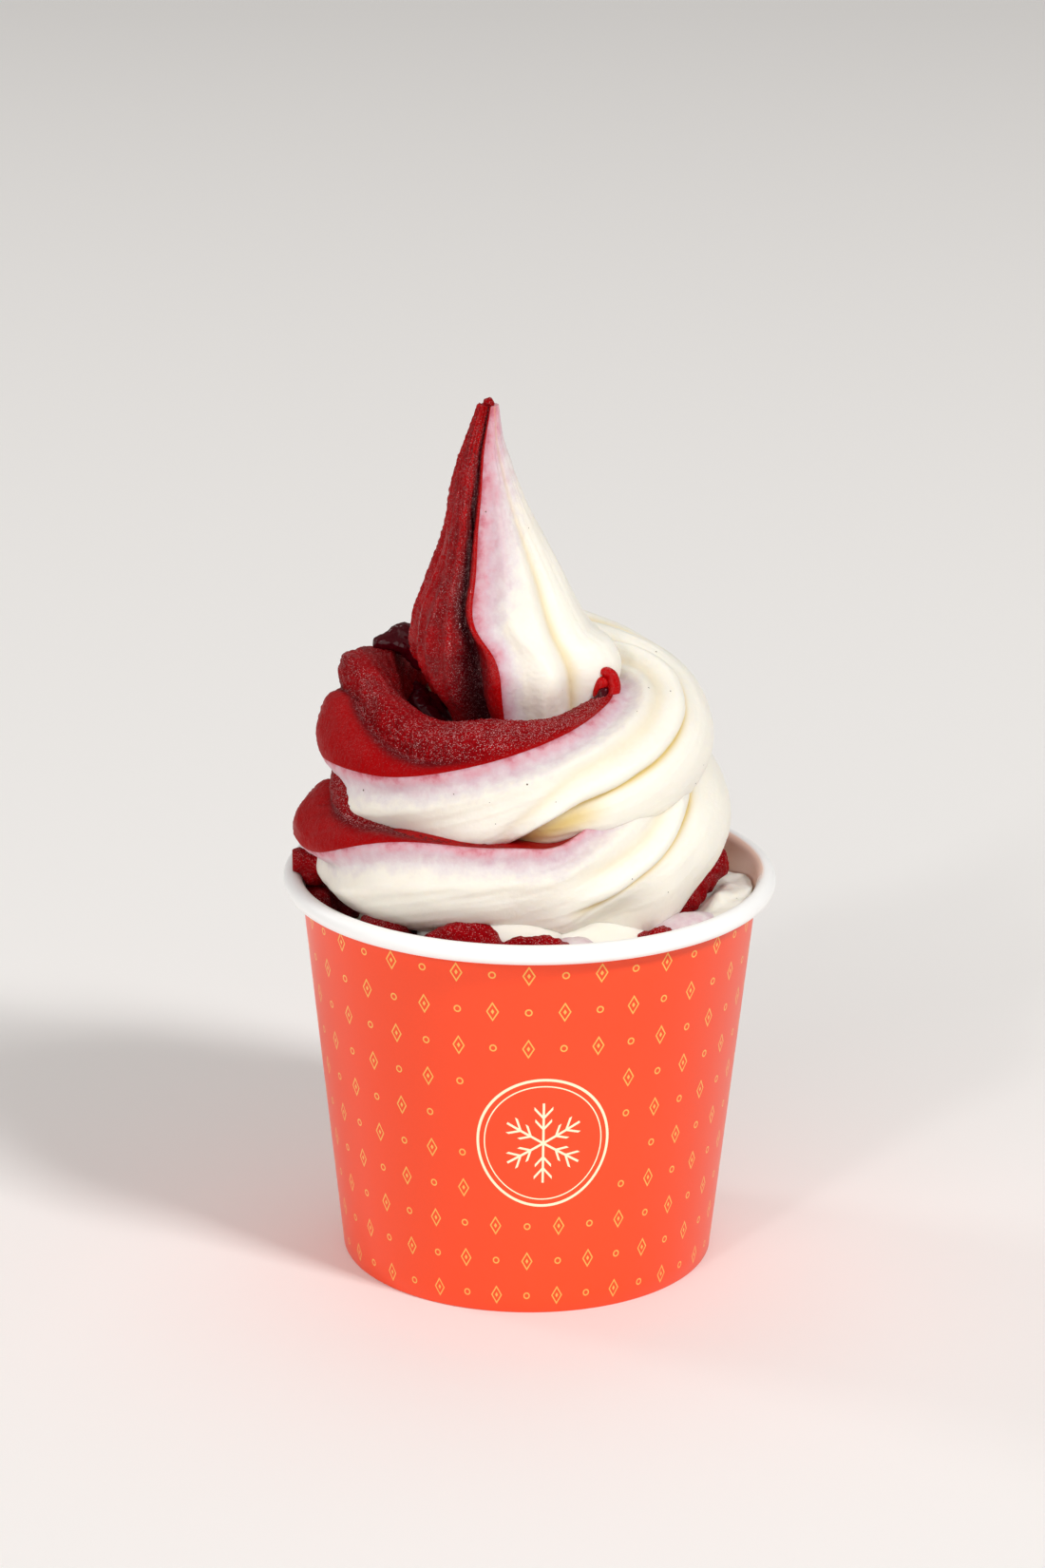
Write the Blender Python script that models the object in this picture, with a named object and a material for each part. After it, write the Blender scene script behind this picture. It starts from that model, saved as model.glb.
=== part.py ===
"""A soft serve swirl of berry sorbet and vanilla in a conical paper cup.

The swirl is one lobed rope of ice cream, half berry and half vanilla. It winds
anticlockwise and upwards, seen from above, and ends in a tall pulled peak. The
cup is a straight tapered paper wall with a rolled rim, folded up at the foot
round the skirt of a raised bottom disc. Units are metres, +Z is up, and the
origin is the middle of the circle that the cup stands on.
"""
import math

import bmesh
import bpy
import numpy as np

MM = 0.001

# Cup, measured over the paper
RIM_DIAMETER = 98.0 * MM
BASE_DIAMETER = 74.5 * MM
CUP_HEIGHT = 80.2 * MM
BEAD_RADIUS = 1.9 * MM
PAPER = 0.6 * MM
WALL_TOP_DIAMETER = RIM_DIAMETER - 4 * BEAD_RADIUS + 0.6 * MM
BOTTOM_HEIGHT = 7.0 * MM
HEM_HEIGHT = 5.6 * MM
GAP = 0.3 * MM
CUP_SIDES = 64
BEAD_STEPS = 9

# Rope of ice cream, by its angle in the nozzle: berry lies between the two
# borders on the nozzle's -X side, and grooves are (angle, depth, half width)
BORDER_BACK = 76
BORDER_FRONT = 256
COIL_GROOVES = [(20, 0.07, 14), (66, 0.05, 16), (327, 0.13, 10)]
PEAK_GROOVES = [(5, 0.06, 14), (66, 0.06, 16), (122, 0.09, 16), (182, 0.07, 14),
                (242, 0.15, 10), (309, 0.13, 9)]
PEAK_FOLD = 242
GROOVE_SHARPNESS = 1.7
COIL_CREAM = (270, 286, 300, 315, 327, 339, 356, 380, 402, 420)
PEAK_CREAM = (268, 284, 298, 308, 318, 336, 352, 366, 392, 418)
BERRY_STEPS_ABOVE = 5
BERRY_STEPS_BELOW = 4
TURN_STEP = 18

# Fold in the berry: its angle slides from the top of the rope to the border
# as the rope comes round from the left to the front, and it fades further on
FOLD_TOP = 178
FOLD_SLIDE = 66
FOLD_TURN = 65
FOLD_DEPTH = 0.29
FOLD_WIDTH = 40

# Coils of the rope: turn angle (180 left, 270 front, 360 right, 450 back),
# coil radius, height, rope radius (mm), roll and angle of the flavour border
COILS = [
    (-150, 24, 58, 12.0, 28, 256),
    (-90, 29, 66, 12.8, 28, 256),
    (0, 26, 66, 12.0, 24, 256),
    (90, 27.5, 79, 13.0, 18, 256),
    (180, 30.2, 90, 13.7, 16, 243),
    (225, 27.6, 92.2, 17.5, 20, 253),
    (270, 25.8, 89.5, 13.7, 18, 256),
    (315, 27.9, 89.0, 12.2, 30, 256),
    (360, 28.2, 90.6, 14.9, 40, 256),
    (450, 28.5, 102.2, 12.7, 30, 256),
    (540, 28.0, 111.5, 11.6, 31, 256),
    (585, 25.0, 106.8, 14.3, 31, 256),
    (630, 25.6, 105.5, 11.8, 30, 256),
    (675, 25.5, 105.9, 13.0, 30, 256),
    (720, 26.6, 109.0, 13.2, 30, 256),
    (765, 23.4, 113.7, 12.7, 25, 256),
    (810, 19.0, 117.3, 12.6, 20, 256),
    (860, 12.0, 118.5, 11.0, 12, 256),
]
COIL_CENTRE_LOW = -2.5 * MM
COIL_CENTRE_HIGH = -4.0 * MM

# Peak: height, centre x, radius (mm) and angle of the flavour border
PEAK = [
    (96, -1.5, 13.0, 264),
    (108, -1.5, 15.5, 264),
    (115, -1.6, 16.3, 263),
    (120, -2.8, 18.2, 260),
    (124.5, -3.7, 19.2, 256),
    (129, -4.9, 17.9, 249),
    (132.5, -5.8, 16.6, 247),
    (141, -6.5, 12.9, 254),
    (150, -7.8, 9.2, 255),
    (160, -9.0, 5.9, 264),
    (168, -9.1, 3.5, 272),
    (173.6, -8.6, 2.0, 285),
]
PEAK_RINGS = 22

# Vanilla core in the cup and inside the coils: radius and height (mm)
CORE = [(46, 64), (38, 67), (30, 72), (27, 84), (24, 94), (15, 99)]

# Small lumps fused to a flavour: points (mm) of the middle line with radii
BERRY_LUMPS = {
    "rim_chunk": [(-33, -3, 82, 4), (-40, -7, 80.5, 5), (-44.5, -10, 79.5, 3.6)],
    "left_pool": [(-30, 22, 68, 5), (-38, 8, 70, 6), (-39, -8, 69, 6), (-33, -22, 70, 6),
                  (-24, -30, 70, 5)],
    "right_band": [(20, 21, 71, 4.5), (31, 20, 76, 5), (33.4, 12, 76.5, 5.2), (32, 2, 75.5, 5.3),
                   (27, -9, 73.5, 5), (19, -14, 69, 4)],
    "front_wedge": [(-22, -30, 70, 4), (-16, -37, 73, 4.6), (-9, -38, 71, 3.6)],
    "front_edge": [(-2, -34, 68, 3), (3, -40, 70, 3.6), (9, -36, 68, 3)],
    "torn_flap": [(-18, 9, 119, 4), (-23, 11, 122.5, 3.4), (-28.5, 13, 123, 2.4)],
    "left_hollow": [(-20, 14, 111, 4), (-21.5, 3, 109, 4.5), (-17, -10, 106, 4)],
    "tip_bead": [(-9.6, 0, 174.1, 1.2), (-7.4, -0.2, 174.3, 1.1)],
}
VANILLA_LUMPS = {
    "right_spread": [(26, 3, 65, 5), (34, -1, 68, 5.5), (39, -9, 70.5, 5.6),
                     (38.5, -18, 70.5, 5.5), (33, -27, 71, 5), (26, -33, 71.5, 5)],
    "front_fold": [(-9, -32, 70, 4), (-4, -38, 73, 4.6), (6, -37, 72, 5), (18, -34, 72, 5)],
}
CORE_SIDES = 32
LUMP_POINTS = 8
LUMP_STEPS = 2

SHARP_ANGLE = math.radians(32)


def bare_scene():
    """Remove every object of the opened scene."""
    for item in list(bpy.data.objects):
        bpy.data.objects.remove(item, do_unlink=True)


def finish(name, material_name, rgb, roughness):
    """Shade a node smooth between its sharp edges and give it its one material."""
    mesh = bpy.data.objects[name].data
    made = bpy.data.materials.new(material_name)
    made.use_nodes = True
    shader = made.node_tree.nodes["Principled BSDF"]
    shader.inputs["Base Color"].default_value = (*rgb, 1.0)
    shader.inputs["Roughness"].default_value = roughness
    shader.inputs["Metallic"].default_value = 0.0
    mesh.materials.clear()
    mesh.materials.append(made)
    mesh.set_sharp_from_angle(angle=SHARP_ANGLE)


def solid(name, points, faces):
    """Object from points and faces, its normals made to point outwards."""
    mesh = bpy.data.meshes.new(name)
    mesh.from_pydata([tuple(p) for p in points], [], faces)
    work = bmesh.new()
    work.from_mesh(mesh)
    bmesh.ops.recalc_face_normals(work, faces=work.faces)
    bmesh.ops.triangulate(work, faces=work.faces)
    work.to_mesh(mesh)
    work.free()
    made = bpy.data.objects.new(name, mesh)
    bpy.context.scene.collection.objects.link(made)
    return made


def rings_solid(name, rings):
    """Closed solid through rings of points, each end shut by one face."""
    count, around = rings.shape[:2]
    faces = []
    for i in range(count - 1):
        for j in range(around):
            k = (j + 1) % around
            corner = (i + 1) * around + k
            faces.append((i * around + j, i * around + k, corner))
            faces.append((i * around + j, corner, (i + 1) * around + j))
    faces.append(tuple(range(around)))
    faces.append(tuple((count - 1) * around + j for j in range(around)))
    return solid(name, rings.reshape(-1, 3), faces)


def lathe(name, profile, sides=CUP_SIDES):
    """Turn a closed outline of (radius, height) points about the Z axis."""
    outline = np.array(profile)
    turn = np.arange(sides) * 2 * math.pi / sides
    points = np.empty((sides, len(outline), 3))
    points[..., 0] = np.cos(turn)[:, None] * outline[:, 0]
    points[..., 1] = np.sin(turn)[:, None] * outline[:, 0]
    points[..., 2] = outline[:, 1]
    faces = []
    around = len(outline)
    for i in range(sides):
        n = (i + 1) % sides
        for j in range(around):
            k = (j + 1) % around
            faces.append((i * around + j, n * around + j, n * around + k, i * around + k))
    return solid(name, points.reshape(-1, 3), faces)


def plug(name, profile, sides=CUP_SIDES):
    """Turn an open outline that starts and ends on the axis."""
    outline = np.array(profile[1:-1])
    turn = np.arange(sides) * 2 * math.pi / sides
    around = len(outline)
    points = [(0, 0, profile[0][1]), (0, 0, profile[-1][1])]
    for a in turn:
        points += [(r * math.cos(a), r * math.sin(a), z) for r, z in outline]
    faces = []
    for i in range(sides):
        this = 2 + i * around
        after = 2 + ((i + 1) % sides) * around
        faces.append((0, this, after))
        faces.append((1, after + around - 1, this + around - 1))
        for j in range(around - 1):
            faces.append((this + j, this + j + 1, after + j + 1, after + j))
    return solid(name, points, faces)


def wall_radius(z):
    """Outer radius of the tapered wall at a height."""
    top = CUP_HEIGHT - BEAD_RADIUS
    share = z / top
    return (BASE_DIAMETER + share * (WALL_TOP_DIAMETER - BASE_DIAMETER)) / 2


def bead_outline(first, last, steps, grow=0.0):
    """Points round the rolled bead between two angles, thickened by grow."""
    radius = BEAD_RADIUS + grow
    outline = []
    for i in range(steps + 1):
        a = math.radians(first + (last - first) * i / steps)
        outline.append((RIM_DIAMETER / 2 - BEAD_RADIUS + radius * math.cos(a),
                        CUP_HEIGHT - BEAD_RADIUS + radius * math.sin(a)))
    return outline


def cup_wall():
    """Tapered sidewall, rolled bead and the hem folded up inside the foot."""
    slot = PAPER + 2 * GAP
    outline = bead_outline(180, -145, BEAD_STEPS)
    outline.append((wall_radius(0), 0))
    hem_r = BASE_DIAMETER / 2 - 2 * PAPER - slot
    outline.append((hem_r, 0))
    outline.append((hem_r + wall_radius(HEM_HEIGHT) - wall_radius(0), HEM_HEIGHT))
    outline.append((wall_radius(HEM_HEIGHT) - PAPER - slot, HEM_HEIGHT))
    outline.append((wall_radius(PAPER) - PAPER - slot, PAPER))
    outline.append((wall_radius(PAPER) - PAPER, PAPER))
    top = CUP_HEIGHT - 2 * BEAD_RADIUS
    outline.append((wall_radius(top) - PAPER, top))
    return lathe("cup_wall", outline)


def cup_bottom():
    """Raised bottom disc whose skirt stands in the foot fold of the wall."""
    foot = PAPER + GAP
    top = BOTTOM_HEIGHT + PAPER
    gap_out = PAPER + GAP
    gap_in = gap_out + PAPER
    outline = [
        (0, top),
        (wall_radius(top) - gap_out, top),
        (wall_radius(foot) - gap_out, foot),
        (wall_radius(foot) - gap_in, foot),
        (wall_radius(BOTTOM_HEIGHT) - gap_in, BOTTOM_HEIGHT),
        (0, BOTTOM_HEIGHT),
    ]
    return plug("cup_bottom", outline)


def spline(knots, values, at):
    """Natural cubic spline through values at knots, read at other places."""
    x = np.asarray(knots, float)
    y = np.asarray(values, float)
    n = len(x)
    h = np.diff(x)
    system = np.eye(n)
    right = np.zeros(n)
    for i in range(1, n - 1):
        system[i, i - 1:i + 2] = h[i - 1], 2 * (h[i - 1] + h[i]), h[i]
        right[i] = 6 * ((y[i + 1] - y[i]) / h[i] - (y[i] - y[i - 1]) / h[i - 1])
    bend = np.linalg.solve(system, right)
    i = np.clip(np.searchsorted(x, at) - 1, 0, n - 2)
    a = (x[i + 1] - at) / h[i]
    b = (at - x[i]) / h[i]
    curve = (a ** 3 - a) * bend[i] + (b ** 3 - b) * bend[i + 1]
    return a * y[i] + b * y[i + 1] + curve * h[i] ** 2 / 6


def eased(share):
    """Smooth step from 0 to 1."""
    share = np.clip(share, 0, 1)
    return share * share * (3 - 2 * share)


def coil_frames():
    """Centres, directions, radii, rolls, borders and turns of the rope in its coils."""
    table = np.array(COILS, float)
    turn = np.arange(table[0, 0], table[-1, 0] + 1, TURN_STEP)
    ring, height, radius, roll, border = (
        spline(table[:, 0], table[:, k], turn) for k in range(1, 6))
    share = (turn - turn[0]) / (turn[-1] - turn[0])
    middle = COIL_CENTRE_LOW + share * (COIL_CENTRE_HIGH - COIL_CENTRE_LOW)
    a = np.radians(turn)
    centre = np.stack([middle + ring * MM * np.cos(a), ring * MM * np.sin(a), height * MM], 1)
    along = np.gradient(centre, axis=0)
    along /= np.linalg.norm(along, axis=1)[:, None]
    return centre, along, radius * MM, np.radians(roll), border, turn


def lay(centre, along, roll, radial, angle):
    """Place nozzle-plane outlines on the path.

    Each outline leaves the nozzle level and is tipped by the least turn that
    brings +Z onto the direction of the path, after its roll.
    """
    turned = np.radians(angle) - roll[:, None]
    flat = np.stack([np.cos(turned), np.sin(turned), np.zeros_like(turned)], -1)
    up = np.array([0.0, 0.0, 1.0])
    axis = np.cross(np.broadcast_to(up, along.shape), along)[:, None, :]
    cosine = (along @ up)[:, None, None]
    swung = np.cross(np.broadcast_to(axis, flat.shape), flat)
    shift = (flat * axis).sum(-1, keepdims=True) / (1 + cosine)
    return centre[:, None, :] + radial[..., None] * (flat * cosine + swung + axis * shift)


def outline_angles(fold, border, cream):
    """Nozzle angles round the rope, berry side first and close about the fold."""
    above = np.linspace(BORDER_BACK, fold - 4, BERRY_STEPS_ABOVE + 1, axis=1)
    below = np.linspace(fold + 5, border, BERRY_STEPS_BELOW + 1, axis=1)
    wider = 360 + BORDER_BACK - border[:, None]
    share = (np.array(cream) - BORDER_FRONT) / (360 + BORDER_BACK - BORDER_FRONT)
    return np.concatenate([above, below, border[:, None] + wider * share], 1)


def grooved(angle, grooves):
    """Rope outline at nozzle angles in degrees, 1 on a lobe, less in a groove."""
    radius = np.ones_like(angle)
    for at, depth, width in grooves:
        off = np.abs((angle - at + 180) % 360 - 180)
        radius -= depth * np.exp(-(off / width) ** GROOVE_SHARPNESS)
    return radius


def coil_outline(turn, border):
    """Angles and radii of the rope's outline in the coils, for a radius of 1."""
    past_left = turn % 360 - 180
    slid = eased(past_left / FOLD_TURN) - eased((past_left - 105) / 75)
    fold = FOLD_TOP + FOLD_SLIDE * slid
    strength = eased((past_left + 150) / 60) * (1 - eased((past_left - 50) / 50))
    angle = outline_angles(fold, border, COIL_CREAM)
    above = fold[:, None] - angle
    step = FOLD_DEPTH * strength[:, None] * np.exp(-np.maximum(above, 0) / FOLD_WIDTH)
    return angle, grooved(angle, COIL_GROOVES) - np.where(above > 0, step, 0)


def peak_outline(border):
    """Angles and radii of the rope's outline in the peak, for a radius of 1."""
    fold = np.full(len(border), float(PEAK_FOLD))
    angle = outline_angles(fold, border, PEAK_CREAM)
    return angle, grooved(angle, PEAK_GROOVES)


def berry_part(angle, reach, grow):
    """Keep an outline's berry side and thicken it by grow, its flat side too."""
    count = BERRY_STEPS_ABOVE + BERRY_STEPS_BELOW + 2
    angle = angle[:, :count]
    reach = reach[:, :count] + grow
    away = np.radians((angle[:, :1] + angle[:, -1:]) / 2 + 180)
    x = reach * np.cos(np.radians(angle))
    y = reach * np.sin(np.radians(angle))
    ends = [0, -1]
    x[:, ends] += grow * np.cos(away)
    y[:, ends] += grow * np.sin(away)
    return np.degrees(np.arctan2(y, x)), np.hypot(x, y)


def peak_frames():
    """Centres, directions, radii, rolls and borders of the pulled peak."""
    table = np.array(PEAK, float)
    height = np.linspace(table[0, 0], table[-1, 0], PEAK_RINGS)
    middle, radius, border = (spline(table[:, 0], table[:, k], height) for k in range(1, 4))
    centre = np.stack([middle, np.zeros_like(middle), height], 1) * MM
    along = np.tile([0.0, 0.0, 1.0], (PEAK_RINGS, 1))
    return centre, along, radius * MM, np.zeros(PEAK_RINGS), border


def fuse(name, pieces):
    """Join overlapping solids into one by a Boolean union on a collection."""
    group = bpy.data.collections.new(name + "_pieces")
    first = pieces[0]
    for piece in pieces[1:]:
        bpy.context.scene.collection.objects.unlink(piece)
        group.objects.link(piece)
    bpy.context.scene.collection.children.link(group)
    union = first.modifiers.new("union", "BOOLEAN")
    union.operation = "UNION"
    union.solver = "EXACT"
    union.operand_type = "COLLECTION"
    union.collection = group
    made = applied(first, name)
    for piece in pieces[1:]:
        bpy.data.objects.remove(piece, do_unlink=True)
    bpy.data.collections.remove(group)
    return made


def cut(target, cutter):
    """Cut one solid from another and remove the cutter."""
    name = target.name
    difference = target.modifiers.new("cut", "BOOLEAN")
    difference.operation = "DIFFERENCE"
    difference.solver = "MANIFOLD"
    difference.object = cutter
    made = applied(target, name)
    bpy.data.objects.remove(cutter, do_unlink=True)
    return made


def applied(item, name):
    """Replace an object by one that holds its evaluated mesh."""
    bpy.context.view_layer.update()
    graph = bpy.context.evaluated_depsgraph_get()
    mesh = bpy.data.meshes.new_from_object(item.evaluated_get(graph))
    bpy.data.objects.remove(item, do_unlink=True)
    made = bpy.data.objects.new(name, mesh)
    bpy.context.scene.collection.objects.link(made)
    return made


def stretches(name, rings, steps):
    """Rope in stretches short enough that none meets itself."""
    pieces = []
    for start in range(0, len(rings) - 1, steps):
        pieces.append(rings_solid(f"{name}_{start}", rings[start:start + steps + 1]))
    return pieces


def lump(name, stations, grow=0.0):
    """Rounded sausage along a short path, its radius following the stations."""
    table = np.array(stations, float) * MM
    knots = np.arange(len(table))
    at = np.linspace(0, len(table) - 1, LUMP_STEPS * (len(table) - 1) + 1)
    x, y, z, radius = (spline(knots, table[:, k], at) for k in range(4))
    centre = np.stack([x, y, z], 1)
    along = np.gradient(centre, axis=0)
    along /= np.linalg.norm(along, axis=1)[:, None]
    # round both ends with two smaller rings
    radius = radius + grow
    caps = [(0.55, 0.8), (0.9, 0.4)]
    first = [(centre[0] - along[0] * radius[0] * far, along[0], radius[0] * near)
             for far, near in reversed(caps)]
    last = [(centre[-1] + along[-1] * radius[-1] * far, along[-1], radius[-1] * near)
            for far, near in caps]
    middle = list(zip(centre, along, radius))
    centre, along, radius = (np.array(column) for column in zip(*first, *middle, *last))
    angle = np.broadcast_to(np.arange(LUMP_POINTS) * 360 / LUMP_POINTS,
                            (len(radius), LUMP_POINTS))
    reach = np.repeat(radius[:, None], LUMP_POINTS, 1)
    return rings_solid(name, lay(centre, along, np.zeros(len(radius)), reach, angle))


def cup_room():
    """Everything outside the cup's inner surface, with the gap that food keeps."""
    outline = bead_outline(180, 0, 5, GAP)
    low = BOTTOM_HEIGHT
    outline.append((outline[-1][0], low))
    outline.append((wall_radius(low) - PAPER - GAP, low))
    top = CUP_HEIGHT - 2 * BEAD_RADIUS
    outline.append((wall_radius(top) - PAPER - GAP, top))
    return lathe("cup_room", outline)


def keep_largest(item):
    """Drop loose scraps, so that only the largest joined body stays."""
    work = bmesh.new()
    work.from_mesh(item.data)
    left = set(work.verts)
    bodies = []
    while left:
        reached = [left.pop()]
        body = list(reached)
        while reached:
            for edge in reached.pop().link_edges:
                for vert in edge.verts:
                    if vert in left:
                        left.remove(vert)
                        reached.append(vert)
                        body.append(vert)
        bodies.append(body)
    bodies.sort(key=len)
    for body in bodies[:-1]:
        bmesh.ops.delete(work, geom=body, context="VERTS")
    work.to_mesh(item.data)
    work.free()


def rope_rings(grow=None):
    """Rings of coils and peak: the whole rope, or its berry thickened by grow."""
    centre, along, radius, roll, border, turn = coil_frames()
    angle, share = coil_outline(turn, border)
    coils = part_rings(centre, along, radius, roll, angle, share, grow)
    centre, along, radius, roll, border = peak_frames()
    angle, share = peak_outline(border)
    return coils, part_rings(centre, along, radius, roll, angle, share, grow)


def part_rings(centre, along, radius, roll, angle, share, grow):
    """Rings of one part of the rope, or of its berry, thickened and lengthened."""
    reach = radius[:, None] * share
    if grow is not None:
        angle, reach = berry_part(angle, reach, grow)
        centre = centre.copy()
        centre[0] -= along[0] * grow
        centre[-1] += along[-1] * grow
    return lay(centre, along, roll, reach, angle)


def berry_pieces(name, grow):
    """The berry half of coils and peak, with its lumps, thickened by grow."""
    coils, peak = rope_rings(grow)
    pieces = stretches(name, coils, 180 // TURN_STEP)
    pieces.append(rings_solid(name + "_peak", peak))
    pieces += [lump(f"{name}_{key}", path, grow) for key, path in BERRY_LUMPS.items()]
    return pieces


def vanilla_pieces():
    """The whole rope, the core that fills the cup and the vanilla lumps."""
    coils, peak = rope_rings()
    pieces = stretches("whole", coils, 180 // TURN_STEP)
    pieces.append(rings_solid("whole_peak", peak))
    pieces += [lump(key, path) for key, path in VANILLA_LUMPS.items()]
    floor = BOTTOM_HEIGHT + PAPER + GAP
    core = [(0, floor), (wall_radius(floor), floor)]
    core += [(r * MM, z * MM) for r, z in CORE]
    core.append((0, CORE[-1][1] * MM))
    pieces.append(plug("core", core, CORE_SIDES))
    return pieces


def swirl():
    """Both flavours: berry, and vanilla cut to lie round it."""
    berry = fuse("berry_swirl", berry_pieces("berry", 0.0))
    vanilla = fuse("vanilla_swirl", vanilla_pieces())
    vanilla = cut(vanilla, fuse("berry_room", berry_pieces("room", GAP)))
    for flavour in (berry, vanilla):
        keep_largest(cut(flavour, cup_room()))


def main():
    bare_scene()
    cup_wall()
    cup_bottom()
    swirl()
    finish("cup_wall", "coated_paper_orange_red", (0.82, 0.115, 0.035), 0.42)
    finish("cup_bottom", "uncoated_paper_white", (0.85, 0.83, 0.79), 0.6)
    finish("berry_swirl", "berry_sorbet_red", (0.41, 0.012, 0.02), 0.38)
    finish("vanilla_swirl", "vanilla_ice_cream_cream", (0.88, 0.82, 0.67), 0.45)


main()
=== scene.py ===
"""Soft serve in a paper cup: berry sorbet and vanilla side by side in one rope.

The swirl is one lobed rope of ice cream that winds up anticlockwise and ends in
a pulled peak. Every surface is a grid of points worked out from two parameters.
Lengths are in mm and angles in degrees, up to where a mesh or a material is made.
"""
import math

import bmesh
import bpy
import numpy as np
from mathutils import Matrix, Vector


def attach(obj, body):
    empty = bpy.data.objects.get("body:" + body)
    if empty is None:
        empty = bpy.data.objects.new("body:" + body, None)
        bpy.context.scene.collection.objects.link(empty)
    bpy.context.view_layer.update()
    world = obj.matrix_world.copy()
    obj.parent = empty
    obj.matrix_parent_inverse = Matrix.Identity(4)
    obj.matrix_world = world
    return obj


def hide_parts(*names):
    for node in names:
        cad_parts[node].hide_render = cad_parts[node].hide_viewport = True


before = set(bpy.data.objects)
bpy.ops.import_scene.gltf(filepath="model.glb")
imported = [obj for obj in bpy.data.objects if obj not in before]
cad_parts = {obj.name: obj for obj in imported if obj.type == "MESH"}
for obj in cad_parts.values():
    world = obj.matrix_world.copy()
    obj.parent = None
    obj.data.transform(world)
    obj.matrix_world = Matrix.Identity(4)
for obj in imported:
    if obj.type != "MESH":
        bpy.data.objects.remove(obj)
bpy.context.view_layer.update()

scene = bpy.context.scene
MM = 0.001

# Cup, as its solids have it
RIM_RADIUS = 49.0
BASE_RADIUS = 37.25
CUP_HEIGHT = 80.1
BEAD_RADIUS = 1.9
PAPER = 0.6
WALL_TOP_RADIUS = RIM_RADIUS - 2 * BEAD_RADIUS + PAPER / 2
BOTTOM_HEIGHT = 7.0
HEM_HEIGHT = 5.6
SEAM_GAP = 0.3
CUP_SIDES = 360

# Print: u is the arc at this radius, 0 in front, and v the height; no motif has its own
# middle within the clearances of the badge's
PRINT_RADIUS = 44.0
PRINT_COLUMNS = 20
PRINT_ROW = 7.7
BADGE_MIDDLE = (3.2, 37.5)
BADGE_RINGS = (13.6, 12.2)
LOZENGE_CLEARANCE = 18.2
RING_CLEARANCE = 16.5

# Ice cream in the cup, and the hills on it: turn angle and width, radius and width, rise
FILL_HEIGHT = 69.5
FILL_RADIUS = 44.0
FILL_GAP = 0.35
HILLS = (
    (-15, 34, 42.5, 12, 8.2), (-12, 24, 38.5, 2, 1.0), (16, 12, 41, 5, 2.0), (-95, 30, 38, 8, 2.0),
    (60, 30, 38, 12, 1.5), (120, 30, 40, 9, 2.5), (185, 30, 40, 8, 1.0))

# Rope in the coils: turn angle (180 left, 270 front, 360 right, 450 back), coil
# radius, height, rope radius, roll and nozzle angle of the flavour border
COILS = np.array([
    (-150, 24, 58, 12.0, 28, 256), (-90, 29, 66, 12.8, 28, 256), (0, 26, 66, 12.0, 24, 256),
    (90, 27.5, 79, 13.0, 18, 256), (180, 30.2, 90, 13.7, 16, 235), (225, 27.6, 92.2, 17.5, 20, 253),
    (270, 25.8, 89.5, 13.7, 18, 256), (315, 27.9, 89.0, 12.2, 30, 256),
    (360, 28.2, 90.6, 14.9, 40, 256), (450, 28.5, 102.2, 12.7, 30, 256),
    (540, 28.0, 111.5, 11.6, 31, 256), (585, 25.0, 106.8, 14.3, 31, 256),
    (630, 25.6, 105.5, 11.8, 30, 256), (675, 25.5, 105.9, 13.0, 30, 256),
    (720, 26.6, 109.0, 13.2, 30, 256), (765, 23.4, 113.7, 12.7, 25, 256),
    (810, 19.0, 117.3, 12.0, 20, 256), (860, 12.0, 117.5, 8.0, 12, 256)])
# x of the coils' axis at the rope's first and last station
COIL_AXIS = (-2.5, -4.0)
# turn angle that parts the lower coil from the top one
TOP_COIL = 400
# nozzle angle of the other flavour border, and the widest ledge from border to fold
BORDER_BACK = 76
SHELF = 79

# Peak: height, centre x, radius and nozzle angle of the flavour border
PEAK = np.array([
    (96, -1.5, 13.0, 258), (108, -1.5, 15.5, 258), (115, -1.6, 16.3, 258), (120, -2.8, 18.2, 261.5),
    (124.5, -3.7, 19.2, 263.5), (129, -4.9, 17.9, 261.5), (132.5, -5.8, 16.6, 254.5),
    (141, -6.5, 12.9, 250.5), (150, -7.8, 9.2, 254), (160, -9.0, 5.9, 264), (168, -9.1, 3.5, 272),
    (173.6, -8.6, 2.0, 285)])
# Its plain flutes: depth as a share of the radius, nozzle angle, width
PEAK_FLUTES = ((0.05, 222, 5), (0.04, 205, 5), (0.08, 186, 6), (0.09, 122, 16), (0.06, 66, 16),
               (0.06, 5, 14))

# Lumps: points of the middle line with radii
BERRY_LUMPS = {
    "rim_chunk": [(-40.5, -2, 78, 4.2), (-45, -3, 81.2, 3.2), (-48.3, -4, 81.8, 1.8)],
    "left_wall": [(-43, 0, 74, 3.2), (-41.5, -9, 72.6, 3.4), (-38, -17, 71, 3.6), (-33, -23, 70, 4)],
    "left_pool": [(-30, 22, 68, 5), (-38, 8, 69, 5.6), (-39, -8, 67.6, 5.6), (-33, -22, 68.6, 5.6),
                  (-24, -30, 69, 5)],
    "right_band": [(36.4, 6, 82.6, 3.6), (35, 2, 80.2, 4.5), (33.2, -2.5, 78.4, 3.2),
                   (30.2, -9, 77.4, 3.8), (27, -14, 76.4, 3.4)],
    "right_tip": [(21.5, -30, 72, 3.6), (25, -28.2, 73.4, 3.8), (28.4, -26, 73.2, 3.2)],
    "front_left": [(-33, -24, 72, 3.8), (-28, -27, 75, 4.2), (-23.5, -29, 72, 3.4)],
    "front_wedge": [(-22, -36, 70.4, 3.8), (-12.8, -35.6, 78, 3.2), (-4, -38, 71.4, 3.8)],
    "front_edge": [(-9, -40, 73.4, 3.4), (-1, -40.6, 76.2, 3.4), (8, -39.8, 75, 3.2)],
    "tip_bead": [(-9.6, 0, 173.7, 1.2), (-7.4, -0.2, 173.9, 1.1)],
}
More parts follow.
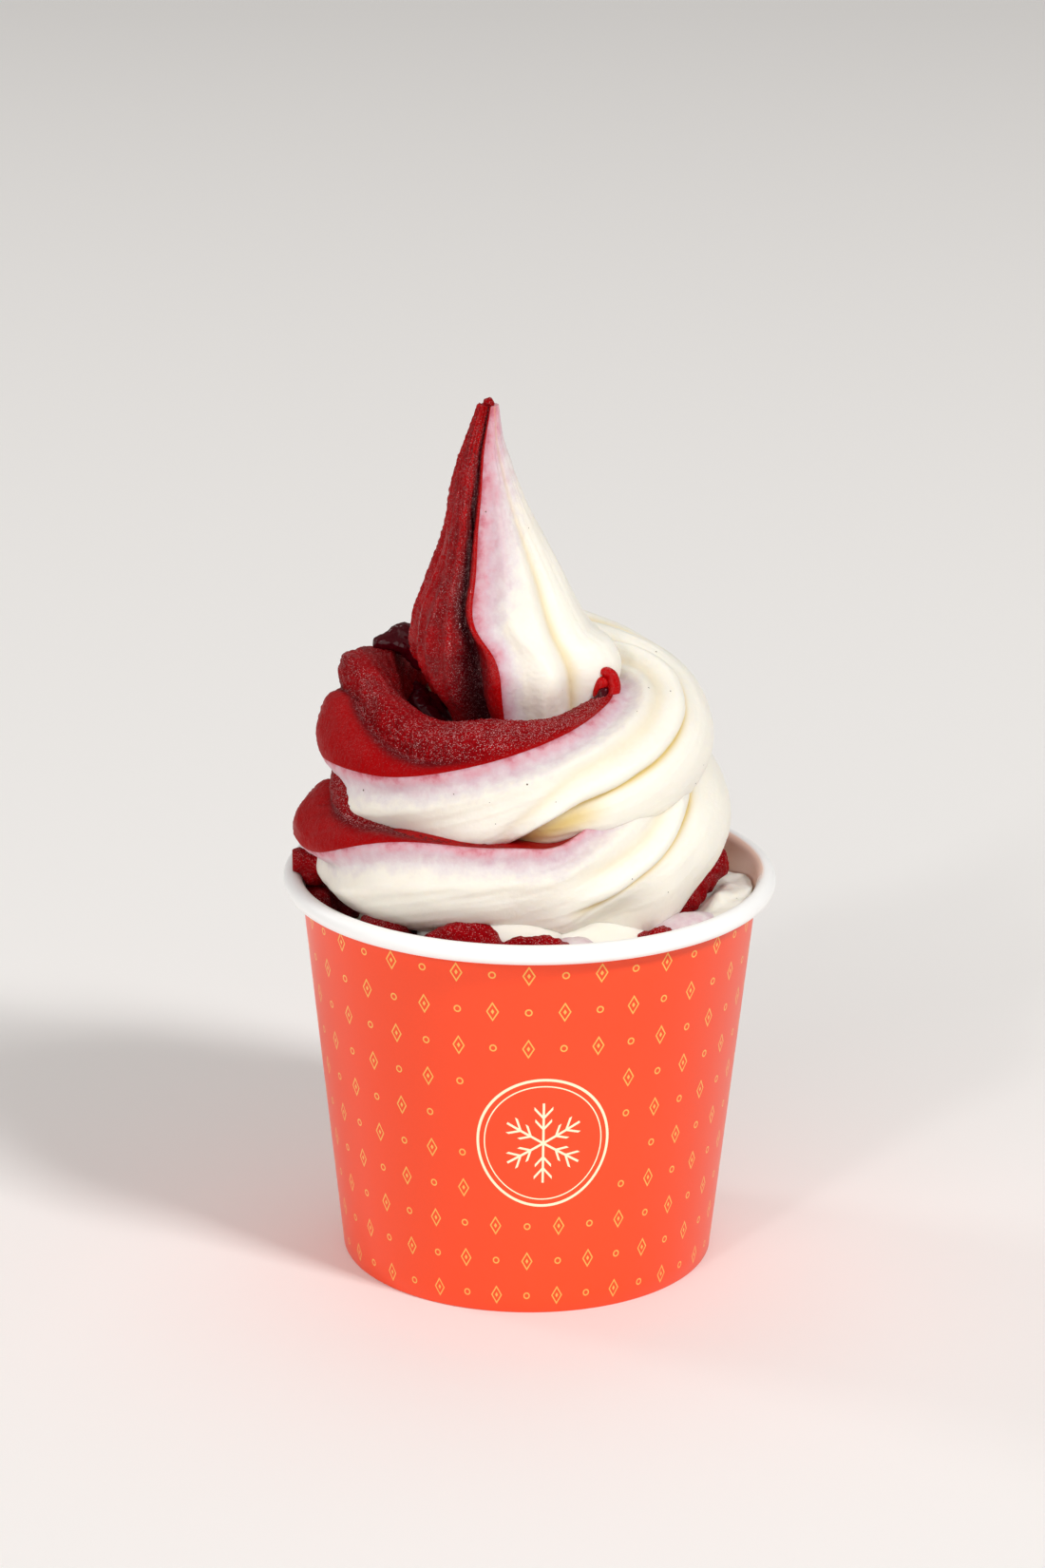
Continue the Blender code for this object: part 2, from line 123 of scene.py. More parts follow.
WET_LUMPS = {
    "lip_end": [(12.9, -12.2, 115.6, 0.9), (15.3, -12.2, 118.2, 1.2), (16.1, -11.8, 120.8, 1.2),
                (15.6, -11.4, 122.8, 1.1), (14.4, -11.3, 123.4, 1), (13.6, -11.3, 122.9, 0.8)],
    "lip_inside": [(12.6, -11.6, 118.2, 0.8), (13.2, -11.5, 119.8, 1.1), (13.8, -11.5, 121.3, 1.3),
                   (14.3, -11.6, 122.7, 1.1)],
}
# Near-black wet berry: the left hollow and the curl's throat are dark lumps that stand for painted
# shade in hollows; the torn flap is a glossy flap in the same dark red
DARK_WET_AND_SHADE_LUMPS = {
    "torn_flap": [(-18, 9, 119, 4.2), (-23, 11, 123, 3.6), (-27.5, 12.5, 122.6, 2.6),
                  (-31, 13, 120.5, 1.8)],
    "left_hollow": [(-23, 12, 110.3, 5), (-22, 3, 109.3, 5.2), (-17, -9, 106.4, 4.8),
                    (-10, -14, 104.5, 4.4)],
    "lip_throat_painted_shade": [(12.2, -12, 116.4, 1.3), (13.6, -12.5, 118, 1.3), (14.2, -12.6, 119.5, 1.1),
                   (14.6, -12.3, 120.7, 0.7)],
}
VANILLA_LUMPS = {
    "right_pale": [(24, -28, 71, 4.2), (29.5, -24.4, 73.4, 4.9), (33.5, -20.5, 72.8, 4.6),
                   (36.5, -15, 70.6, 4.2)],
    "front_cream": [(-21.6, -24, 73.8, 4), (-17, -25, 74.6, 4.2), (-12.3, -26, 74.4, 4)],
    "front_fold": [(-16, -31, 73.6, 5), (-8, -32.4, 75.6, 5.4), (0, -33.4, 75.4, 5.2),
                   (6.5, -34, 73.2, 4.6)],
    "front_pale": [(3, -37, 73, 3.2), (8, -36.8, 74.6, 3.4), (13, -35.6, 73.6, 3.2)],
}
# Cream lumps that berry has stained, and the distance to the border they stand for
STAINED = ("right_pale", "front_pale")
STAINED_EDGE, CLEAN_EDGE = 3.5, 9.0

# Edges sharper than this stay sharp: on ice cream, and on board
SOFT_SHARP, BOARD_SHARP = 75, 40

# Lamps: place and size in metres, power in watts
LAMPS = {
    "key": ((2.1, -1.9, 2.6), 0.7, 80.0),
    "fill": ((-1.6, -3.2, 1.2), 3.0, 50.0),
    "glint": ((-1.3, -2.3, 1.6), 0.28, 11.0),
    "rim": ((-2.0, 0.9, 1.3), 0.5, 7.0),
    "top": ((0.2, 1.6, 3.4), 2.5, 18.0),
}
LAMP_AIM = (0, 0, 0.1)
WORLD_STRENGTH = 0.28

# Camera, fitted to the photograph: place in metres, pitch and roll, lens in mm
CAMERA_PLACE = (-0.0015, -0.8203, 0.3584)
CAMERA_PITCH, CAMERA_ROLL = 17.67, 0.4
LENS, SENSOR, NEAREST = 100, 36, 0.01


# ---------------------------------------------------------------- shapes

def spline(knots, values, at):
    """Natural cubic spline: cubic pieces that share value, slope and bend at the knots."""
    x, y = np.asarray(knots, float), np.asarray(values, float)
    n, h = len(x), np.diff(x)
    system, right = np.eye(n), np.zeros(n)
    inner = np.arange(1, n - 1)
    system[inner, inner - 1] = h[:-1]
    system[inner, inner] = 2 * (h[:-1] + h[1:])
    system[inner, inner + 1] = h[1:]
    right[1:-1] = 6 * np.diff(np.diff(y) / h)
    bend = np.linalg.solve(system, right)
    i = np.clip(np.searchsorted(x, at) - 1, 0, n - 2)
    a, b = (x[i + 1] - at) / h[i], (at - x[i]) / h[i]
    bent = ((a ** 3 - a) * bend[i] + (b ** 3 - b) * bend[i + 1]) * h[i] ** 2 / 6
    return a * y[i] + b * y[i + 1] + bent


def eased(share):
    """Smooth step 3s^2 - 2s^3 between 0 and 1."""
    share = np.clip(share, 0, 1)
    return share * share * (3 - 2 * share)


def window(value, start, full, fade, end):
    """0 up to start, 1 from full to fade, 0 after end, with smooth steps between."""
    return eased((value - start) / (full - start)) * (1 - eased((value - fade) / (end - fade)))


def near(angle, at, width):
    """Bell of height 1 at an angle: exp of minus (the turn to it over width) squared."""
    off = (angle - at + 180) % 360 - 180
    return np.exp(-(off / width) ** 2)


def crease(angle, at, width, line):
    """Groove of depth 1: 0.65 of a wide bell, and 0.35 of a fine line at its bottom that
    fades as exp of minus (the turn to it over line)."""
    off = np.abs((angle - at + 180) % 360 - 180)
    return 0.65 * np.exp(-(off / width) ** 2) + 0.35 * np.exp(-off / line)


def grain(points, size, seed):
    """Even bumps about as wide as size: 36 plane waves in random directions, added up and
    divided by the root of half their number."""
    waves = 36
    chance = np.random.default_rng(seed)
    way = chance.normal(size=(waves, 3))
    way /= np.linalg.norm(way, axis=1)[:, None]
    way *= 2 * np.pi / (size * chance.uniform(0.75, 1.35, waves))[:, None]
    phase = chance.uniform(0, 2 * np.pi, waves)
    flat = points.reshape(-1, 3)
    total = np.zeros(len(flat))
    for k in range(waves):
        total += np.cos(flat @ way[k] + phase[k])
    return (total / math.sqrt(waves / 2)).reshape(points.shape[:-1])


def lay(centre, along, roll, reach, angle):
    """Points centre + R(reach * (cos a, sin a, 0)): a is the nozzle angle less the roll,
    and R the least turn from +Z to the path."""
    turned = np.radians(angle) - roll[:, None]
    flat = np.stack([np.cos(turned), np.sin(turned), np.zeros_like(turned)], -1)
    axis = np.cross(np.broadcast_to([0.0, 0.0, 1.0], along.shape), along)[:, None, :]
    cosine = along[:, 2][:, None, None]
    swung = np.cross(np.broadcast_to(axis, flat.shape), flat)
    shift = (flat * axis).sum(-1, keepdims=True) / (1 + cosine)
    return centre[:, None, :] + reach[..., None] * (flat * cosine + swung + axis * shift)


def normals(points, closed):
    """Unit normals of a grid: the cross product of its two difference vectors."""
    rows = np.gradient(points, axis=0)
    if closed:
        columns = (np.roll(points, -1, 1) - np.roll(points, 1, 1)) / 2
    else:
        columns = np.gradient(points, axis=1)
    cross = np.cross(columns, rows)
    return cross / np.maximum(np.linalg.norm(cross, axis=-1, keepdims=True), 1e-12)


def wall_radius(height):
    """Outer radius of the tapered wall, which grows evenly up to the bead's middle."""
    return BASE_RADIUS + height / (CUP_HEIGHT - BEAD_RADIUS) * (WALL_TOP_RADIUS - BASE_RADIUS)


def inside_cup(points):
    """Moves points in from the wall and off the rolled rim: below the middle of the bead
    their radius is held to the wall's inside, above it they keep off the bead's circle."""
    off_wall, off_bead = 0.2, 0.15
    reach = np.hypot(points[..., 0], points[..., 1])
    height = points[..., 2]
    bead = RIM_RADIUS - BEAD_RADIUS
    middle = CUP_HEIGHT - BEAD_RADIUS
    clear = BEAD_RADIUS + off_bead
    limit = np.minimum(wall_radius(height) - PAPER - off_wall, bead - clear)
    held = np.where(height < middle, np.minimum(reach, limit), np.minimum(reach, bead))
    over = np.sqrt(np.maximum(clear ** 2 - (held - bead) ** 2, 0)) + middle
    moved = points * (held / np.maximum(reach, 1e-6))[..., None]
    moved[..., 2] = np.where((height >= middle) & (over > middle), np.maximum(height, over), height)
    return moved


def piece(name, points, materials, node_name, ends=True, fields=None, uv=None, faces_of=None):
    """Object from a grid of points whose columns close up: neighbours make faces, and each
    end is a fan. A field is one number, or one for each point."""
    rows, columns = points.shape[:2]
    here = np.arange(rows * columns).reshape(rows, columns)
    beside = np.roll(here, -1, 1)
    faces = np.stack([here[:-1], beside[:-1], beside[1:], here[1:]], -1).reshape(-1, 4).tolist()
    flat = points.reshape(-1, 3)
    if ends:
        flat = np.vstack([flat, points[0].mean(0), points[-1].mean(0)])
        low, high = rows * columns, rows * columns + 1
        faces += np.stack([np.full(columns, low), beside[0], here[0]], -1).tolist()
        faces += np.stack([np.full(columns, high), here[-1], beside[-1]], -1).tolist()
    mesh = bpy.data.meshes.new(name)
    mesh.from_pydata((flat * MM).tolist(), [], faces)
    for key, values in (fields or {}).items():
        values = np.broadcast_to(values, (rows, columns)).reshape(-1)
        if ends:
            values = np.concatenate([values, [values[:columns].mean(), values[-columns:].mean()]])
        field = mesh.attributes.new(key, "FLOAT", "POINT")
        field.data.foreach_set("value", values.astype(np.float32))
    if uv is not None:
        corner = np.empty(len(mesh.loops), np.int32)
        mesh.loops.foreach_get("vertex_index", corner)
        layer = mesh.uv_layers.new(name="print")
        layer.data.foreach_set("uv", uv.reshape(-1, 2)[corner].astype(np.float32).ravel())
    for look in materials:
        mesh.materials.append(look)
    if faces_of is not None:
        mesh.polygons.foreach_set("material_index", faces_of.astype(np.int32))
    mesh.shade_smooth()
    mesh.set_sharp_from_angle(angle=math.radians(SOFT_SHARP))
    made = bpy.data.objects.new(name, mesh)
    scene.collection.objects.link(made)
    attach(made, "root")
    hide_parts(node_name)
    return made


# ---------------------------------------------------------------- finishes

def linear(code):
    """sRGB hex to linear RGBA: below 0.04045 over 12.92, above ((c + 0.055) / 1.055)^2.4."""
    parts = [int(code[k:k + 2], 16) / 255 for k in (1, 3, 5)]
    return tuple(c / 12.92 if c <= 0.04045 else ((c + 0.055) / 1.055) ** 2.4 for c in parts) + (1.0,)


def fill(tree, made, inputs):
    """Set a node's inputs, by name or number, to constants or link them to sockets."""
    for key, value in inputs.items():
        if isinstance(value, bpy.types.NodeSocket):
            tree.links.new(value, made.inputs[key])
        else:
            made.inputs[key].default_value = value


def node(tree, kind, inputs=None, out=0, **settings):
    """Add a node with its properties and inputs, and return one of its outputs.

    Inputs by number: Math 0 and 1; Map Range the value 0, its range 1 and 2, its new
    range 3 and 4; Mix the share 0, with numbers at 2 and 3 and the result at output 0, or
    with colours at 6 and 7 and the result at output 2.
    """
    made = tree.nodes.new("ShaderNode" + kind)
    for key, value in settings.items():
        setattr(made, key, value)
    fill(tree, made, inputs or {})
    return made.outputs[out]


def finish(name):
    """Empty material with a Principled shader: the material, its tree and the shader."""
    made = bpy.data.materials.new(name)
    made.use_nodes = True
    return made, made.node_tree, made.node_tree.nodes["Principled BSDF"]


def sorbet(name, dark, red, bright, gloss, crystals, grit, shine, wet):
    """Berry sorbet pulled from a churn: dense dark red ice, wet in places, smooth along
    its lips, and covered with fine glassy ice crystals. The crystals' pale colour is frost
    with painted glints, painted stronger where the surface faces up as painted light from
    above, and the creases get a painted shade."""
    made, tree, shader = finish(name)
    place = node(tree, "TexCoord", out="Object")
    edge, deep, frost = (node(tree, "Attribute", out="Fac", attribute_name=key)
                         for key in ("edge", "deep", "frost"))
    # clouds 4 mm across in the ice; lips and bare places are brighter; creases get painted shade
    cloud = node(tree, "TexNoise", {"Vector": place, "Scale": 260.0, "Detail": 3.0})
    lip = node(tree, "MapRange", {0: edge, 1: 0.4, 2: 3.0, 3: 1.0, 4: 0.0})
    bare = node(tree, "MapRange", {0: frost, 1: 0.1, 2: 0.5, 3: 0.8, 4: 0.0})
    smooth = node(tree, "Math", {0: lip, 1: bare}, operation="MAXIMUM")
    body = node(tree, "Mix", {0: cloud, 6: linear(dark), 7: linear(red)}, 2, data_type="RGBA")
    for share, code in ((smooth, bright), (deep, "#35030A")):
        body = node(tree, "Mix", {0: share, 6: body, 7: linear(code)}, 2, data_type="RGBA")
    # ice crystals in cells of 0.25 mm, coarser than real frost so that they show; chance
    # picks the cells, more of them in patches 10 mm across, and how white each is
    distance = node(tree, "TexVoronoi", {"Vector": place, "Scale": 4000.0, "Randomness": 1.0})
    chance = node(tree, "SeparateColor", {0: distance.node.outputs["Color"]})
    dots = node(tree, "MapRange", {0: distance, 1: 0.22, 2: 0.5, 3: 1.0, 4: 0.0})
    patches = node(tree, "TexNoise", {"Vector": place, "Scale": 95.0, "Detail": 2.0})
    need = node(tree, "MapRange", {0: patches, 1: 0.35, 2: 0.65, 3: 0.6, 4: 0.1})
    picked = node(tree, "Math", {0: chance, 1: need}, operation="GREATER_THAN")
    white = node(tree, "Math", {0: chance.node.outputs[2], 1: 0.9}, operation="POWER")
    up = node(tree, "SeparateXYZ", {0: node(tree, "NewGeometry", out="Normal")}, "Z")
    # painted light from above: the crystals show stronger where the surface faces up
    painted_top_light = node(tree, "MapRange", {0: up, 1: -0.3, 2: 0.7, 3: 0.35, 4: 1.0})
    thick = node(tree, "MapRange", {0: lip, 1: 0.0, 2: 1.0, 3: crystals, 4: crystals * 0.4})
    shown = picked
    for part in (white, dots, painted_top_light, frost, thick):
        shown = node(tree, "Math", {0: shown, 1: part}, operation="MULTIPLY")
    # the crystals' pale colour is frost with painted glints
    colour = node(tree, "Mix", {0: shown, 6: body, 7: linear("#FFC8C8")}, 2, data_type="RGBA")
    rough = node(tree, "MapRange", {0: cloud, 1: 0.3, 2: 0.7, 3: gloss, 4: gloss + 0.18})
    glassy = node(tree, "Mix", {0: shown, 2: rough, 3: 0.07})
    # low relief: the crystals, and a grit 0.7 mm across between them
    fine = node(tree, "TexNoise", {"Vector": place, "Scale": 1500.0, "Detail": 2.0})
    sharp = node(tree, "Math", {0: dots, 1: frost}, operation="MULTIPLY")
    height = node(tree, "Math", {0: sharp, 1: fine}, operation="ADD")
    bump = node(tree, "Bump", {"Strength": grit, "Distance": 0.2 * MM, "Height": height})
    fill(tree, shader, {
        "Base Color": colour, "Roughness": glassy, "Normal": bump, "IOR": 1.35,
        "Specular IOR Level": shine, "Specular Tint": linear("#FFB0A8"),
        "Coat Weight": wet, "Coat Roughness": 0.05, "Subsurface Weight": 0.1,
        "Subsurface Radius": (1.0, 0.15, 0.12), "Subsurface Scale": 1 * MM})
    return made


def ice_cream(name, gloss):
    """Soft vanilla ice cream: pale fatty cream with a dull satin skin, light that goes a
    few mm into it, a pink stain where berry touches it with a greyer band of painted shade
    past it, a yellowish painted shade in the creases and a few ground vanilla specks."""
    made, tree, shader = finish(name)
    place = node(tree, "TexCoord", out="Object")
    edge, deep = (node(tree, "Attribute", out="Fac", attribute_name=key) for key in ("edge", "deep"))
    # the stain runs out over 13 mm, ragged by clouds 3 mm across
    blur = node(tree, "TexNoise", {"Vector": place, "Scale": 330.0, "Detail": 4.0, "Roughness": 0.65})
    shift = node(tree, "MapRange", {0: blur, 1: 0.25, 2: 0.75, 3: -1.5, 4: 1.5})
    stained = node(tree, "Math", {0: edge, 1: shift}, operation="ADD")
    share = node(tree, "MapRange", {0: stained, 1: -1.0, 2: 13.0, 3: 0.0, 4: 1.0})
    tint = node(tree, "ValToRGB", {0: share})
    stops = tint.node.color_ramp.elements
    stops[0].position, stops[0].color = 0.0, linear("#B84452")
    stops[1].position, stops[1].color = 1.0, linear("#F5F0E4")
    # the pink is a stain; the greyer lavender stops from 0.24 to 0.56 are painted shade beside the
    # border
    for at, code in ((0.08, "#CA7A86"), (0.14, "#D29CA6"), (0.24, "#D2B4BC"), (0.42, "#E0D6D4"),
                     (0.56, "#EDE6DA")):
        stops.new(at).color = linear(code)
    # yellowish painted shade in the creases and the pocket, by the deep field
    sunk = node(tree, "Mix", {0: deep, 6: tint, 7: linear("#E2C777")}, 2, data_type="RGBA")
    # ground vanilla specks about 0.4 mm across, in two of three cells of 5 mm
    distance = node(tree, "TexVoronoi", {"Vector": place, "Scale": 200.0, "Randomness": 1.0})
    chance = node(tree, "SeparateColor", {0: distance.node.outputs["Color"]}, 1)
    small = node(tree, "Math", {0: distance, 1: 0.038}, operation="LESS_THAN")
    picked = node(tree, "Math", {0: chance, 1: 0.35}, operation="GREATER_THAN")
    speck = node(tree, "Math", {0: small, 1: picked}, operation="MULTIPLY")
    colour = node(tree, "Mix", {0: speck, 6: sunk, 7: linear("#5A4630")}, 2, data_type="RGBA")
    # skin with a grain 0.6 mm across, which changes its gloss and its relief
    skin = node(tree, "TexNoise", {"Vector": place, "Scale": 1700.0, "Detail": 4.0, "Roughness": 0.6})
    rough = node(tree, "MapRange", {0: skin, 1: 0.3, 2: 0.7, 3: gloss, 4: gloss + 0.2})
    bump = node(tree, "Bump", {"Strength": 0.5, "Distance": 0.15 * MM, "Height": skin})
    fill(tree, shader, {
        "Base Color": colour, "Roughness": rough, "Normal": bump, "IOR": 1.4,
        "Subsurface Weight": 0.35, "Subsurface Radius": (1.0, 0.8, 0.55),
        "Subsurface Scale": 3 * MM})
    return made


def print_steps():
    """The print as sums in mm: each step names a value, its operation and its two inputs.

    A line of the print is where the distance to it is under half its width.
    """
    column, sixth = 2 * math.pi * PRINT_RADIUS / PRINT_COLUMNS, math.pi / 3
    steps = [
        # cell of the brick pattern, odd rows moved by half a column, and the place in it
        ("row_at", "DIVIDE", "v", PRINT_ROW), ("row", "FLOOR", "row_at", 0),
        ("odd", "MODULO", "row", 2), ("moved", "MULTIPLY", "odd", 0.5),
        ("unmoved", "DIVIDE", "u", column), ("column_at", "ADD", "unmoved", "moved"),
        ("u_part", "FRACT", "column_at", 0), ("u_off", "SUBTRACT", "u_part", 0.5),
        ("v_part", "FRACT", "row_at", 0), ("v_off", "SUBTRACT", "v_part", 0.5),
        ("x", "MULTIPLY", "u_off", column), ("y", "MULTIPLY", "v_off", PRINT_ROW),
        ("x_size", "ABSOLUTE", "x", 0), ("y_size", "ABSOLUTE", "y", 0),
        # lozenge 2.2 by 3.6 mm with a 0.26 mm line, and a small full one inside it
        ("x_share", "DIVIDE", "x_size", 1.1), ("y_share", "DIVIDE", "y_size", 1.8),
        ("lozenge", "ADD", "x_share", "y_share"), ("off_line", "SUBTRACT", "lozenge", 1),
        ("line_gap", "ABSOLUTE", "off_line", 0), ("line", "LESS_THAN", "line_gap", 0.14),
        ("x_small", "DIVIDE", "x_size", 0.34), ("y_small", "DIVIDE", "y_size", 0.56),
        ("small", "ADD", "x_small", "y_small"), ("heart", "LESS_THAN", "small", 1),
        ("diamond", "MAXIMUM", "line", "heart"),
        # ring of radius 0.6 mm with a 0.28 mm line, half way to the next lozenge
        ("ring_x", "SUBTRACT", column / 2, "x_size"), ("ring_xx", "MULTIPLY", "ring_x", "ring_x"),
        ("ring_yy", "MULTIPLY", "y", "y"), ("far_square", "ADD", "ring_xx", "ring_yy"),
        ("far", "SQRT", "far_square", 0), ("off_ring", "SUBTRACT", "far", 0.6),
        ("ring_gap", "ABSOLUTE", "off_ring", 0), ("ring", "LESS_THAN", "ring_gap", 0.14),
        # place from the badge's middle
        ("bx", "SUBTRACT", "u", BADGE_MIDDLE[0]), ("by", "SUBTRACT", "v", BADGE_MIDDLE[1]),
        ("bxx", "MULTIPLY", "bx", "bx"), ("byy", "MULTIPLY", "by", "by"),
        ("out_square", "ADD", "bxx", "byy"), ("out", "SQRT", "out_square", 0),
        # how far the motifs' own middles are from the badge's
        ("mx", "SUBTRACT", "bx", "x"), ("mxx", "MULTIPLY", "mx", "mx"),
        ("my", "SUBTRACT", "by", "y"), ("myy", "MULTIPLY", "my", "my"),
        ("lozenge_square", "ADD", "mxx", "myy"),
        ("clear", "GREATER_THAN", "lozenge_square", LOZENGE_CLEARANCE ** 2),
        ("side", "SIGN", "x", 0), ("to_ring", "MULTIPLY", "side", "ring_x"),
        ("rx", "ADD", "bx", "to_ring"), ("rxx", "MULTIPLY", "rx", "rx"),
        ("ring_square", "ADD", "rxx", "myy"),
        ("free", "GREATER_THAN", "ring_square", RING_CLEARANCE ** 2),
        # the badge's two rings
        ("off_outer", "SUBTRACT", "out", BADGE_RINGS[0]), ("outer_gap", "ABSOLUTE", "off_outer", 0),
        ("outer", "LESS_THAN", "outer_gap", 0.28),
        ("off_inner", "SUBTRACT", "out", BADGE_RINGS[1]), ("inner_gap", "ABSOLUTE", "off_inner", 0),
        ("inner", "LESS_THAN", "inner_gap", 0.13), ("rings", "MAXIMUM", "outer", "inner"),
        # star of six arms 8.6 mm long: p runs out along the nearest arm, q across it
        ("way", "ARCTAN2", "bx", "by"), ("turn", "DIVIDE", "way", sixth),
        ("whole", "ROUND", "turn", 0), ("part", "SUBTRACT", "turn", "whole"),
        ("off_arm", "MULTIPLY", "part", sixth),
        ("cosine", "COSINE", "off_arm", 0), ("p", "MULTIPLY", "out", "cosine"),
        ("sine", "SINE", "off_arm", 0), ("across", "MULTIPLY", "out", "sine"),
        ("q", "ABSOLUTE", "across", 0), ("slim", "LESS_THAN", "q", 0.24),
        ("short", "LESS_THAN", "p", 8.6), ("star", "MULTIPLY", "slim", "short")]
    # two pairs of barbs on each arm: where they leave it, and how far they reach
    for start, length in ((3.0, 1.7), (5.4, 1.9)):
        steps += [
            ("past", "SUBTRACT", "p", start), ("slant", "MULTIPLY", "past", 0.9),
            ("off_barb", "SUBTRACT", "q", "slant"), ("barb_gap", "ABSOLUTE", "off_barb", 0),
            ("barb", "LESS_THAN", "barb_gap", 0.3), ("within", "LESS_THAN", "q", length),
            ("cut", "MULTIPLY", "barb", "within"), ("begun", "GREATER_THAN", "p", start - 0.2),
            ("pair", "MULTIPLY", "cut", "begun"), ("star", "MAXIMUM", "star", "pair")]
    return steps + [
        ("badge", "MAXIMUM", "rings", "star"), ("lozenges", "MULTIPLY", "diamond", "clear"),
        ("rounds", "MULTIPLY", "ring", "free"), ("gold", "MAXIMUM", "lozenges", "rounds")]


def printed_board(name):
    """Cup board with a satin coated print: warm orange red, pale gold lozenges and rings
    in brick rows, and a round cream badge with a six-armed ice star."""
    made, tree, shader = finish(name)
    place = node(tree, "TexCoord", out="Object")
    u = node(tree, "SeparateXYZ", {0: node(tree, "UVMap", uv_map="print")})
    value = {"u": u, "v": u.node.outputs["Y"]}
    for key, kind, a, b in print_steps():
        value[key] = node(tree, "Math", {0: value.get(a, a), 1: value.get(b, b)}, operation=kind)
    # clouds 70 mm across in the ink, and a dust 0.4 mm across on it
    wash = node(tree, "TexNoise", {"Vector": place, "Scale": 14.0, "Detail": 2.0})
    grit = node(tree, "TexNoise", {"Vector": place, "Scale": 2600.0})
    dust = node(tree, "MapRange", {0: grit, 1: 0.3, 2: 0.7, 3: 0.0, 4: 0.12})
    colour = linear("#F5400F")
    for share, code in ((wash, "#FA4E18"), (dust, "#DE4118"), (value["gold"], "#F3B355"),
                        (value["badge"], "#FFF2CC")):
        colour = node(tree, "Mix", {0: share, 6: colour, 7: linear(code)}, 2, data_type="RGBA")
    rough = node(tree, "MapRange", {0: wash, 1: 0.3, 2: 0.7, 3: 0.3, 4: 0.38})
    bump = node(tree, "Bump", {"Strength": 0.08, "Distance": 0.1 * MM, "Height": wash})
    fill(tree, shader, {"Base Color": colour, "Roughness": rough, "Normal": bump, "IOR": 1.5})
    return made


def white_board(name):
    """White cup board with a thin plastic coat on the food side: soft shine, a few greasy
    smears that only show as a change of gloss and a faint tint, and one glossy smear of
    melted ice cream whose pink brown tint is painted shade with red reflected light."""
    made, tree, shader = finish(name)
    place = node(tree, "TexCoord", out="Object")
    # smears 11 mm across, kept to the wall's inside by the distance from the cup's axis
    smear = node(tree, "TexNoise", {"Vector": place, "Scale": 90.0, "Detail": 3.0, "Distortion": 1.5})
    flat = node(tree, "VectorMath", {0: place, 1: (1, 1, 0)}, operation="MULTIPLY")
    from_axis = node(tree, "VectorMath", {0: flat}, "Value", operation="LENGTH")
    inside = node(tree, "MapRange", {0: from_axis, 1: 46.2 * MM, 2: 46.8 * MM, 3: 1.0, 4: 0.0})
    greasy = node(tree, "Math", {0: smear, 1: inside}, operation="MULTIPLY")
    tint = node(tree, "MapRange", {0: greasy, 1: 0.5, 2: 0.75, 3: 0.0, 4: 0.35})
    white = node(tree, "Mix", {0: tint, 6: linear("#FBFAF8"), 7: linear("#F0E4DE")}, 2,
                 data_type="RGBA")
    # the melted one lies on the inside at the right, about 40 mm across and ragged; its
    # gloss is the melt's, its pink brown tint is painted shade with red reflected light
    middle = (43 * MM, 12 * MM, 76 * MM)
    far = node(tree, "VectorMath", {0: place, 1: middle}, "Value", operation="DISTANCE")
    torn = node(tree, "Math", {0: smear, 1: 12 * MM}, operation="MULTIPLY")
    ragged = node(tree, "Math", {0: far, 1: torn}, operation="ADD")
    blot = node(tree, "MapRange", {0: ragged, 1: 18 * MM, 2: 27 * MM, 3: 0.85, 4: 0.0})
    melt_and_painted_shade = node(tree, "Math", {0: blot, 1: inside}, operation="MULTIPLY")
    colour = node(tree, "Mix", {0: melt_and_painted_shade, 6: white, 7: linear("#FFD0B6")}, 2, data_type="RGBA")
    rough = node(tree, "MapRange", {0: greasy, 1: 0.4, 2: 0.65, 3: 0.42, 4: 0.2})
    wet = node(tree, "Mix", {0: melt_and_painted_shade, 2: rough, 3: 0.16})
    # paper fibres under the coat, drawn 0.8 mm apart so that they show
    fibre = node(tree, "TexNoise", {"Vector": place, "Scale": 1200.0, "Detail": 3.0})
    bump = node(tree, "Bump", {"Strength": 0.04, "Distance": 0.05 * MM, "Height": fibre})
    fill(tree, shader, {"Base Color": colour, "Roughness": wet, "Normal": bump})
    return made


# ---------------------------------------------------------------- rope

def coil_path(turn):
    """Centre, direction, radius, roll and both flavour borders of the rope at turn angles.

    Splines through COILS give radius and height about an axis whose x drifts evenly.
    """
    ring, height, radius, roll, border = (
        spline(COILS[:, 0], COILS[:, k], turn) for k in range(1, 6))
    share = (turn - COILS[0, 0]) / (COILS[-1, 0] - COILS[0, 0])
    middle = COIL_AXIS[0] + share * (COIL_AXIS[1] - COIL_AXIS[0])
    a = np.radians(turn)
    centre = np.stack([middle + ring * np.cos(a), ring * np.sin(a), height], 1)
    along = np.gradient(centre, turn, axis=0)
    along = along / np.linalg.norm(along, axis=1)[:, None]
    # the lower coil's border sways
    sway = 8 * near(turn, 285, 10) - 11 * near(turn, 234, 24) - 16 * near(turn, 186, 14)
    border = border + (turn < TOP_COIL) * sway
    # low at the front right, where the rope's start could show, cream faces out
    border = border - 70 * window(turn, -84, -72, -20, 0)
    # in the bowl at the top left the berry reaches on down the inner side
    back = BORDER_BACK - 55 * window(turn, 490, 508, 590, 612)
    return centre, along, radius, np.radians(roll), border, back


def peak_path(height):
    """Centre, direction, radius, roll and both flavour borders of the peak at heights."""
    middle, radius, border = (spline(PEAK[:, 0], PEAK[:, k], height) for k in range(1, 4))
    centre = np.stack([middle, 0 * middle, height], 1)
    along = np.zeros_like(centre)
    along[:, 2] = 1
    return centre, along, radius, 0 * radius, border, 0 * radius + BORDER_BACK


def berry_fold(turn, top):
    """Share of SHELF by which the berry's fold lies above the border, and its strength.

    The share is 1 at the left and fades in front as exp of minus gone^1.25, where gone
    counts the turn past the left.
    """
    past = turn % 360 - 180
    gone = np.maximum(past - np.where(top, 6, 10), 0) / np.where(top, 32, 20)
    strength = eased((past + 60) / 40) * (1 - eased((past - 60) / 40))
    return np.exp(-gone ** 1.25), strength


